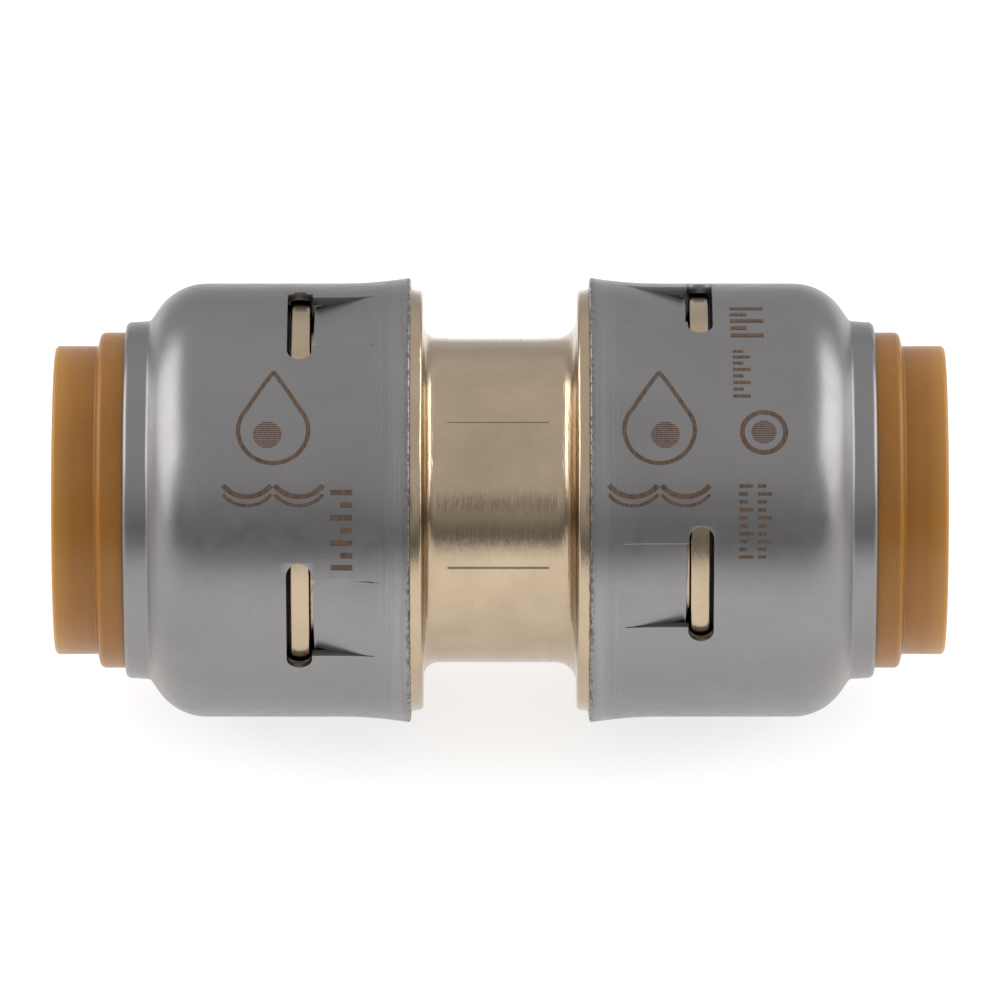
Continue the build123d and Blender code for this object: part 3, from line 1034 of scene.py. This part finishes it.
class COUPLING_OT_collars(Operator):
    """Turns the moulded release collars, each with its end section, ring, retaining flange and nose"""

    bl_idname = "coupling.collars"
    bl_label = "Release Collars"

    def execute(self, context):
        size = context.scene.coupling_collar
        sleeve = context.scene.coupling_sleeve
        depth = sleeve.sheet + size.retainer_gap
        step_back = size.nose_bore - size.bore
        turned_pair(
            "release_collar",
            [
                (size.nose, size.nose_bore, 0.08 * MM),
                (size.nose, size.nose_tip_radius, 0.15 * MM),
                (size.nose + size.nose_taper, size.nose_radius),
                (size.retainer_back, size.nose_radius, 0.2 * MM),
                (size.retainer_back, size.retainer_radius, 0.1 * MM),
                (shoulder_line_x(sleeve, size.retainer_radius, depth), size.retainer_radius, 0.1 * MM),
                (shoulder_line_x(sleeve, size.ring_radius, depth), size.ring_radius, 0.1 * MM),
                (size.ring_face - size.ring_lean, size.ring_radius, size.ring_corner),
                (size.ring_face, size.end_root_radius, 0.12 * MM),
                (size.end, size.end_radius, size.end_corner),
                (size.end, size.bore + size.lead_in, 0.08 * MM),
                (size.end - size.lead_in, size.bore),
                (size.bore_start, size.bore),
                (size.bore_start - step_back, size.nose_bore),
            ],
            stored("tan_plastic", tan_plastic),
            "{side}_collar",
        )
        return {"FINISHED"}


class COUPLING_OT_grab_rings(Operator):
    """Stamps one grab ring tooth by tooth and copies it to the other end"""

    bl_idname = "coupling.grab_rings"
    bl_label = "Grab Rings"

    def execute(self, context):
        size = context.scene.coupling_grip
        slope = math.tan(size.lean)
        inset = size.sheet * math.sin(size.lean)
        tip_radius = size.tip_radius + inset
        tooth = size.root_radius - tip_radius
        corners = [(size.rim, size.rim_radius), (size.rim, size.root_radius + 0.8 * MM)]
        corners.append((size.rim, size.root_radius, size.root_bend))
        for step in range(1, 7):
            along = tooth * (0.22 + 0.78 * step / 6)
            corners.append((size.rim - along * slope, size.root_radius - along))
        right = draw_outline("right_grab_ring_piece", corners, closed=False)
        sector = 2 * math.pi / size.teeth
        turn_outline(16, sector)
        roll(sector / 2)
        low = size.tip_radius - MM
        add_cutter(
            (size.rim - MM, 0, (low + size.gap_root_radius) / 2),
            (6 * MM, size.gap, size.gap_root_radius - low),
        )
        round_cutter(
            right,
            size.gap,
            8,
            lambda edge: abs(edge.verts[0].co.x - edge.verts[1].co.x) > 5 * MM
            and edge.verts[0].co.z > size.gap_root_radius - TINY,
        )

        def off_sheet(face):
            return any(
                vert.co.x > size.rim + 0.5 * MM or vert.co.x < size.rim - 3 * MM for vert in face.verts
            )

        def in_gap(face):
            root = size.gap_root_radius - size.gap / 2
            return all(
                math.hypot(vert.co.y, max(vert.co.z - root, 0)) < size.gap / 2 + 0.004 * MM
                for vert in face.verts
            )

        punch_out(
            right, off_sheet, in_gap, lambda vert: abs(vert.co.y) < size.gap / 2 + TINY * 10, 0.02 * MM
        )
        repeat_around(size.teeth)
        flip_if(right, lambda face: face.normal.x > 0)
        bpy.ops.object.mode_set(mode="OBJECT")
        apply_modifier(right, "SOLIDIFY", thickness=size.sheet, offset=-1, use_even_offset=True)
        soften_edges(right, size.edge, 50)
        left = mirror_copy(right, "left_grab_ring_piece")
        steel = stored("spring_steel", spring_steel)
        for side, piece in (("right", right), ("left", left)):
            finish_piece(piece, f"{side}_grab_ring", steel)
            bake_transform(piece)
        return {"FINISHED"}


class COUPLING_OT_backing_rings(Operator):
    """Turns the moulded rings that back the grab rings inside the sleeves' shoulders"""

    bl_idname = "coupling.backing_rings"
    bl_label = "Backing Rings"

    def execute(self, context):
        size = context.scene.coupling_grip
        sleeve = context.scene.coupling_sleeve
        bend = size.backing_radius - (sleeve.radius - sleeve.shoulder_radius)
        turn = math.asin((size.backing_end - sleeve.shoulder) / bend)
        turned_pair(
            "backing_ring",
            [
                (size.backing_start, size.backing_radius, 0.1 * MM),
                *bend_points(sleeve.shoulder, size.backing_radius, bend, turn, 8),
                (size.backing_end, size.backing_skirt, 0.08 * MM),
                (size.backing_web, size.backing_skirt, 0.15 * MM),
                (size.backing_web, size.backing_bore, 0.1 * MM),
                (size.backing_start, size.backing_bore, 0.1 * MM),
            ],
            stored("glass_filled_plastic", glass_filled_plastic),
            "{side}_sleeve",
        )
        return {"FINISHED"}


class COUPLING_OT_protectors(Operator):
    """Turns the moulded rings that shut the O-rings in and leave a cone for the teeth"""

    bl_idname = "coupling.protectors"
    bl_label = "Seal Protectors"

    def execute(self, context):
        size = context.scene.coupling_seal
        turned_pair(
            "o_ring_protector",
            [
                (size.protector_tip, size.protector_bore, 0.12 * MM),
                (size.protector_tip, size.spigot_radius, 0.12 * MM),
                (size.protector_flange, size.spigot_radius, 0.06 * MM),
                (size.protector_flange, size.protector_radius - size.protector_corner),
                (size.protector_flange + size.protector_corner, size.protector_radius),
                (size.protector_end, size.protector_radius, 0.08 * MM),
                (size.protector_end, size.cone_mouth_radius, 0.1 * MM),
                (size.cone_place, size.cone_radius),
                (size.cone_place - size.cone_lip, size.protector_bore),
            ],
            stored("glass_filled_plastic", glass_filled_plastic),
            "body",
        )
        return {"FINISHED"}


class COUPLING_OT_o_rings(Operator):
    """Turns the rubber O-rings, with the fine line that the mould leaves inside and outside"""

    bl_idname = "coupling.o_rings"
    bl_label = "O-Rings"

    def execute(self, context):
        size = context.scene.coupling_seal
        thick = size.ring_section / 2
        corners = []
        for step in range(60):
            angle = math.tau * step / 60
            on_line = step % 30 == 15
            out = thick if on_line else thick - size.flash
            corners.append(
                (size.ring_place + out * math.cos(angle), size.ring_radius + out * math.sin(angle))
            )
        turned_pair("o_ring", corners, stored("seal_rubber", seal_rubber), "body")
        return {"FINISHED"}


class COUPLING_OT_liners(Operator):
    """Turns the flanged liners that keep a plastic pipe round"""

    bl_idname = "coupling.liners"
    bl_label = "Pipe Liners"

    def execute(self, context):
        size = context.scene.coupling_seal
        flange = size.liner_start + size.liner_flange
        turned_pair(
            "pipe_liner",
            [
                (size.liner_start, size.liner_bore, 0.15 * MM),
                (size.liner_start, size.liner_flange_radius, 0.12 * MM),
                (flange, size.liner_flange_radius, 0.12 * MM),
                (flange, size.liner_radius, 0.2 * MM),
                (size.liner_tip - size.liner_lead_in, size.liner_radius),
                (size.liner_tip, size.liner_radius - size.liner_lead_in, 0.05 * MM),
                (size.liner_tip, size.liner_bore, 0.1 * MM),
            ],
            stored("natural_plastic", natural_plastic),
            "body",
        )
        return {"FINISHED"}


class COUPLING_OT_etched_marks(Operator):
    """Etches a plain water-drop emblem and rows of plain ticks on each sleeve"""

    bl_idname = "coupling.etched_marks"
    bl_label = "Etched Marks"

    def start(self, name, height):
        """An empty mesh to draw flat marks in, open in edit mode."""
        deselect_all()
        bpy.ops.mesh.primitive_plane_add(size=MM, location=(0, 0, height))
        piece = bpy.context.object
        piece.name = name
        piece.data.name = name
        bpy.ops.object.mode_set(mode="EDIT")
        bpy.ops.mesh.select_all(action="SELECT")
        bpy.ops.mesh.delete(type="VERT")
        return piece

    def bar(self, x, y, wide, tall, height, turn=0.0):
        """A flat bar, divided so that it can follow the sleeve's curve."""
        bpy.ops.mesh.select_all(action="DESELECT")
        bpy.ops.mesh.primitive_plane_add(size=MM, location=(x, y, height))
        bpy.ops.transform.resize(value=(wide / MM, tall / MM, 1), center_override=(x, y, height))
        if tall > 0.5 * MM:
            bpy.ops.mesh.subdivide(number_cuts=math.ceil(tall / (0.4 * MM)))
        if turn:
            bpy.ops.transform.rotate(value=turn, orient_axis="Z", center_override=(x, y, height))

    def band(self, x, y, radius, line, height, start=0.0, sweep=math.tau):
        """A flat band that follows a circle, or part of one."""
        bpy.ops.mesh.select_all(action="DESELECT")
        bpy.ops.mesh.primitive_plane_add(size=MM, location=(x, y, height))
        bpy.context.tool_settings.mesh_select_mode = (True, False, False)
        bpy.ops.mesh.merge(type="CENTER")
        inner = (radius - line / 2) * math.cos(start), (radius - line / 2) * math.sin(start)
        bpy.ops.transform.translate(value=(*inner, 0))
        step = (line * math.cos(start), line * math.sin(start), 0)
        bpy.ops.mesh.extrude_region_move(TRANSFORM_OT_translate={"value": step})
        bpy.ops.mesh.select_linked()
        bpy.ops.mesh.spin(
            steps=max(6, round(radius * sweep / (0.22 * MM))),
            angle=sweep,
            center=(x, y, height),
            axis=(0, 0, -1),
        )

    def hatched_disc(self, x, y, radius, height):
        """A disc drawn by the laser's passes, as short parallel bars."""
        passes = 13
        for number in range(passes):
            off = radius * (2 * (number + 0.5) / passes - 1)
            chord = 2 * math.sqrt(radius**2 - off**2)
            self.bar(x, y + off, chord, radius * 1.25 / passes, height)

    def emblem(self, x, size, height, out):
        """A drop over two waves, with a hatched disc in the drop, set off towards the sleeve's mouth."""
        bottom = -1.0 * MM
        middle = bottom + 1.6 * MM
        shoulder = math.radians(40)
        self.band(
            x, middle, size.drop_radius, size.line, height, math.radians(140), math.radians(260)
        )
        tip = middle + 2 * size.drop_radius
        for sign in (-1, 1):
            start_x = x + sign * size.drop_radius * math.cos(shoulder)
            start_y = middle + size.drop_radius * math.sin(shoulder)
            run = math.hypot(x - start_x, tip - start_y)
            turn = math.atan2(tip - start_y, x - start_x)
            centre = ((start_x + x) / 2, (start_y + tip) / 2)
            self.bar(*centre, size.line, run * 1.04, height, math.pi / 2 - turn)
        self.hatched_disc(x + out * 0.35 * MM, bottom + 1.3 * MM, 0.85 * MM, height)
        wave_radius = 1.75 * MM
        for number, wave in enumerate((2.9, 3.5)):
            for sign in (-1, 1):
                self.band(
                    x + sign * 1.55 * MM,
                    -(wave - 0.1) * MM + 0.9 * MM,
                    wave_radius,
                    size.line * (1.25 - 0.4 * number),
                    height,
                    math.radians(215),
                    math.radians(110),
                )

    def seal(self, height):
        """A ring with a hatched disc in it."""
        x, radius, line, disc = 15.8 * MM, 1.3 * MM, 0.3 * MM, 0.75 * MM
        self.band(x, 0, radius, line, height)
        self.hatched_disc(x, 0, disc, height)

    def wrap(self, piece, sleeve, size, rise):
        """Wraps the flat marks onto the sleeve and turns them to their place on its front."""
        bpy.ops.object.mode_set(mode="OBJECT")
        edit_all(piece)
        roll(rise)
        bpy.ops.object.mode_set(mode="OBJECT")
        apply_modifier(
            piece,
            "SHRINKWRAP",
            target=sleeve,
            wrap_method="NEAREST_SURFACEPOINT",
            wrap_mode="ABOVE_SURFACE",
            offset=size.proud,
        )
        edit_all(piece)
        flip_if(piece, lambda face: face.normal.yz.dot(face.calc_center_median().yz) < 0)
        bpy.ops.object.mode_set(mode="OBJECT")
        apply_modifier(piece, "SOLIDIFY", thickness=size.proud * 0.8, offset=-1)

    def rows(self, side):
        """Rows of ticks for each sleeve: place, width, and the stretch up the front that they take."""
        if side == "left":
            return [(9.5, 1.3, 34.0, 10.0, (1, 0.55, 1, 0.55, 1, 0.55, 1))]
        return [
            (14.85, 2.0, 93.0, 77.0, (1, 0.5, 1, 0.5, 1)),
            (14.5, 1.05, 74.0, 57.0, (0.6, 1, 0.6, 1, 0.6, 1, 0.6, 1)),
            (14.72, 0.85, 35.0, 13.6, (1, 0.6, 0.6, 1, 0.6, 0.6, 1, 0.6, 0.6, 1)),
            (15.85, 0.85, 35.0, 13.6, (0.6, 1, 0.6, 0.6, 1, 0.6, 0.6, 1, 0.6, 0.6)),
        ]

    def execute(self, context):
        size = context.scene.coupling_marks
        sleeve = context.scene.coupling_sleeve
        height = sleeve.radius + 0.3 * MM
        etching = stored("laser_etching", laser_etching)
        for side, out in SIDES.items():
            target = bpy.data.objects[f"{side}_outer_sleeve_piece"]
            groups = [(size.emblem_rise, "emblem", None)]
            for row in self.rows(side):
                groups.append((math.radians((row[2] + row[3]) / 2), "row", row))
            if side == "right":
                seal_rise = math.radians(48.0)
                groups.append((seal_rise, "seal", None))
            made = []
            for number, (rise, kind, row) in enumerate(groups):
                piece = self.start(f"{side}_mark_{number}", height)
                if kind == "emblem":
                    x = out * (size.left_emblem if side == "left" else size.right_emblem)
                    self.emblem(x, size, height, out)
                elif kind == "seal":
                    self.seal(height)
                else:
                    middle, wide, high, low, ticks = row
                    stretch = sleeve.radius * math.radians(high - low)
                    pitch = stretch / len(ticks)
                    for tick, share in enumerate(ticks):
                        x = out * (middle * MM - wide * MM * (1 - share) / 2)
                        y = stretch / 2 - pitch * (tick + 0.5)
                        self.bar(x, y, wide * MM * share, pitch * 0.45, height)
                self.wrap(piece, target, size, math.pi / 2 - rise)
                made.append(piece)
            pick_up(made[0])
            for piece in made:
                piece.select_set(True)
            bpy.ops.object.join()
            marks = bpy.context.object
            marks.name = f"{side}_etched_marks"
            marks.data.name = marks.name
            marks.data.materials.clear()
            marks.data.materials.append(etching)
            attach(marks, f"{side}_sleeve")
        return {"FINISHED"}


class COUPLING_OT_studio(Operator):
    """Sets the pale floor, the soft light and the camera"""

    bl_idname = "coupling.studio"
    bl_label = "Studio"

    def floor(self, size):
        deselect_all()
        bpy.ops.mesh.primitive_plane_add(size=size.floor_size, location=(0, 0, -size.floor_drop))
        floor = bpy.context.object
        floor.name = "studio_floor"
        finish = Finish("studio_floor", Roughness=0.9)
        soft = finish.noise(0.4, 2.0, 0.5)
        # Painted light: the floor glows by itself, brightest in a pool round the coupling and fading to about
        # a sixth further out.
        out = finish.add("ShaderNodeVectorMath", {0: finish.place}, operation="LENGTH").outputs["Value"]
        painted_light_pool = finish.spread(out, 0.07, 0.26, size.floor_glow, size.floor_glow * 0.16)
        finish.set(
            Base_Color=finish.blend_colours(
                finish.spread(soft, 0.3, 0.7), rgba(size.floor_colour, 0.995), rgba(size.floor_colour)
            )
        )
        finish.shader.inputs["Emission Color"].default_value = (1, 1, 1, 1)
        finish.set(Emission_Strength=painted_light_pool)
        finish.shader.inputs["Specular IOR Level"].default_value = 0.0
        floor.data.materials.append(finish.material)

    def sky(self, scene, size):
        """A plain grey room: dim at the horizon and round the camera, lighter overhead and behind."""
        world = bpy.data.worlds.new("studio_room")
        scene.world = world
        world.use_nodes = True
        tree = world.node_tree

        def add(kind, inputs=None, **settings):
            node = tree.nodes.new(kind)
            for key, value in settings.items():
                setattr(node, key, value)
            for key, value in (inputs or {}).items():
                if isinstance(value, bpy.types.NodeSocket):
                    tree.links.new(value, node.inputs[key])
                else:
                    node.inputs[key].default_value = value
            return node

        def share(value, low, high, start, end):
            span = {0: value, 1: low, 2: high, 3: start, 4: end}
            return add("ShaderNodeMapRange", span, interpolation_type="SMOOTHSTEP").outputs[0]

        def combine(operation, first, second):
            return add("ShaderNodeMath", {0: first, 1: second}, operation=operation).outputs[0]

        direction = add("ShaderNodeTexCoord").outputs["Generated"]
        split = add("ShaderNodeSeparateXYZ", {0: direction})
        rise = split.outputs[2]
        level = share(rise, 0.06, 0.58, size.sky_low, size.sky_high)
        behind = share(split.outputs[1], 0.55, 1.0, 0.0, size.backdrop)
        near_floor = share(rise, 0.0, 0.5, 1.0, 0.0)
        level = combine("ADD", level, combine("MULTIPLY", behind, near_floor))
        stand = math.radians(27.5)
        towards = add(
            "ShaderNodeVectorMath",
            {0: direction, 1: (0, -math.cos(stand), math.sin(stand))},
            operation="DOT_PRODUCT",
        ).outputs["Value"]
        level = combine("MULTIPLY", level, share(towards, 0.989, 0.9990, 1.0, size.camera_stand))
        background = tree.nodes["Background"]
        background.inputs[0].default_value = (1.0, 1.0, 1.0, 1.0)
        tree.links.new(level, background.inputs[1])

    def softbox(self, name, location, wide, deep, power):
        """A soft area light that looks at the coupling."""
        deselect_all()
        bpy.ops.object.light_add(type="AREA", location=location)
        light = bpy.context.object
        light.name = name
        light.data.shape = "RECTANGLE"
        light.data.size = wide
        light.data.size_y = deep
        light.data.energy = power
        direction = -light.location
        light.rotation_euler = direction.to_track_quat("-Z", "Y").to_euler()

    def camera(self, scene, size):
        deselect_all()
        low, high = CAD_BOUNDS
        middle = [(a + b) / 2 for a, b in zip(low, high)]
        back = size.camera_distance * math.cos(size.camera_rise)
        up = size.camera_distance * math.sin(size.camera_rise)
        bpy.ops.object.camera_add(location=(middle[0], middle[1] - back, middle[2] + up))
        camera = bpy.context.object
        camera.name = "studio_camera"
        camera.rotation_euler = (math.pi / 2 - size.camera_rise, 0, 0)
        camera.data.lens = size.lens * 1000
        camera.data.sensor_width = 36.0
        camera.data.clip_start = 0.05
        camera.data.clip_end = 20.0
        camera.data.dof.use_dof = False
        scene.camera = camera

    def execute(self, context):
        scene = context.scene
        size = scene.coupling_studio
        self.floor(size)
        self.sky(scene, size)
        self.softbox("studio_key", (0.0, 0.12, 0.62), 0.9, 0.35, size.key_power)
        self.softbox("studio_left", (-0.74, 0.14, 0.33), 0.95, 0.65, size.side_power)
        self.softbox("studio_right", (0.74, 0.14, 0.33), 0.95, 0.65, size.side_power)
        self.camera(scene, size)
        scene.view_settings.view_transform = "Standard"
        return {"FINISHED"}


STEPS = (
    COUPLING_OT_brass_body,
    COUPLING_OT_sleeves,
    COUPLING_OT_collars,
    COUPLING_OT_grab_rings,
    COUPLING_OT_backing_rings,
    COUPLING_OT_protectors,
    COUPLING_OT_o_rings,
    COUPLING_OT_liners,
    COUPLING_OT_etched_marks,
    COUPLING_OT_studio,
)

SETTINGS = {
    "coupling_body": CouplingBodySizes,
    "coupling_sleeve": CouplingSleeveSizes,
    "coupling_collar": CouplingCollarSizes,
    "coupling_grip": CouplingGripSizes,
    "coupling_seal": CouplingSealSizes,
    "coupling_marks": CouplingMarkSizes,
    "coupling_finishes": CouplingFinishes,
    "coupling_studio": CouplingStudio,
}


class COUPLING_PT_pieces(Panel):
    """Lists the coupling's pieces and its studio"""

    bl_idname = "COUPLING_PT_pieces"
    bl_label = "Push Fit Coupling"
    bl_space_type = "VIEW_3D"
    bl_region_type = "UI"
    bl_category = "Coupling"

    def draw(self, context):
        for step in STEPS:
            self.layout.operator(step.bl_idname)
        for name, group in SETTINGS.items():
            box = self.layout.box()
            box.label(text=group.__doc__)
            for field in group.__annotations__:
                box.prop(getattr(context.scene, name), field)


CLASSES = (*SETTINGS.values(), *STEPS, COUPLING_PT_pieces)


def register():
    for cls in CLASSES:
        bpy.utils.register_class(cls)
    for name, group in SETTINGS.items():
        setattr(bpy.types.Scene, name, PointerProperty(type=group))


def unregister():
    for name in reversed(SETTINGS):
        delattr(bpy.types.Scene, name)
    for cls in reversed(CLASSES):
        bpy.utils.unregister_class(cls)


def main():
    register()
    for step in STEPS:
        group, name = step.bl_idname.split(".")
        getattr(getattr(bpy.ops, group), name)()
    deselect_all()


if __name__ == "__main__":
    main()
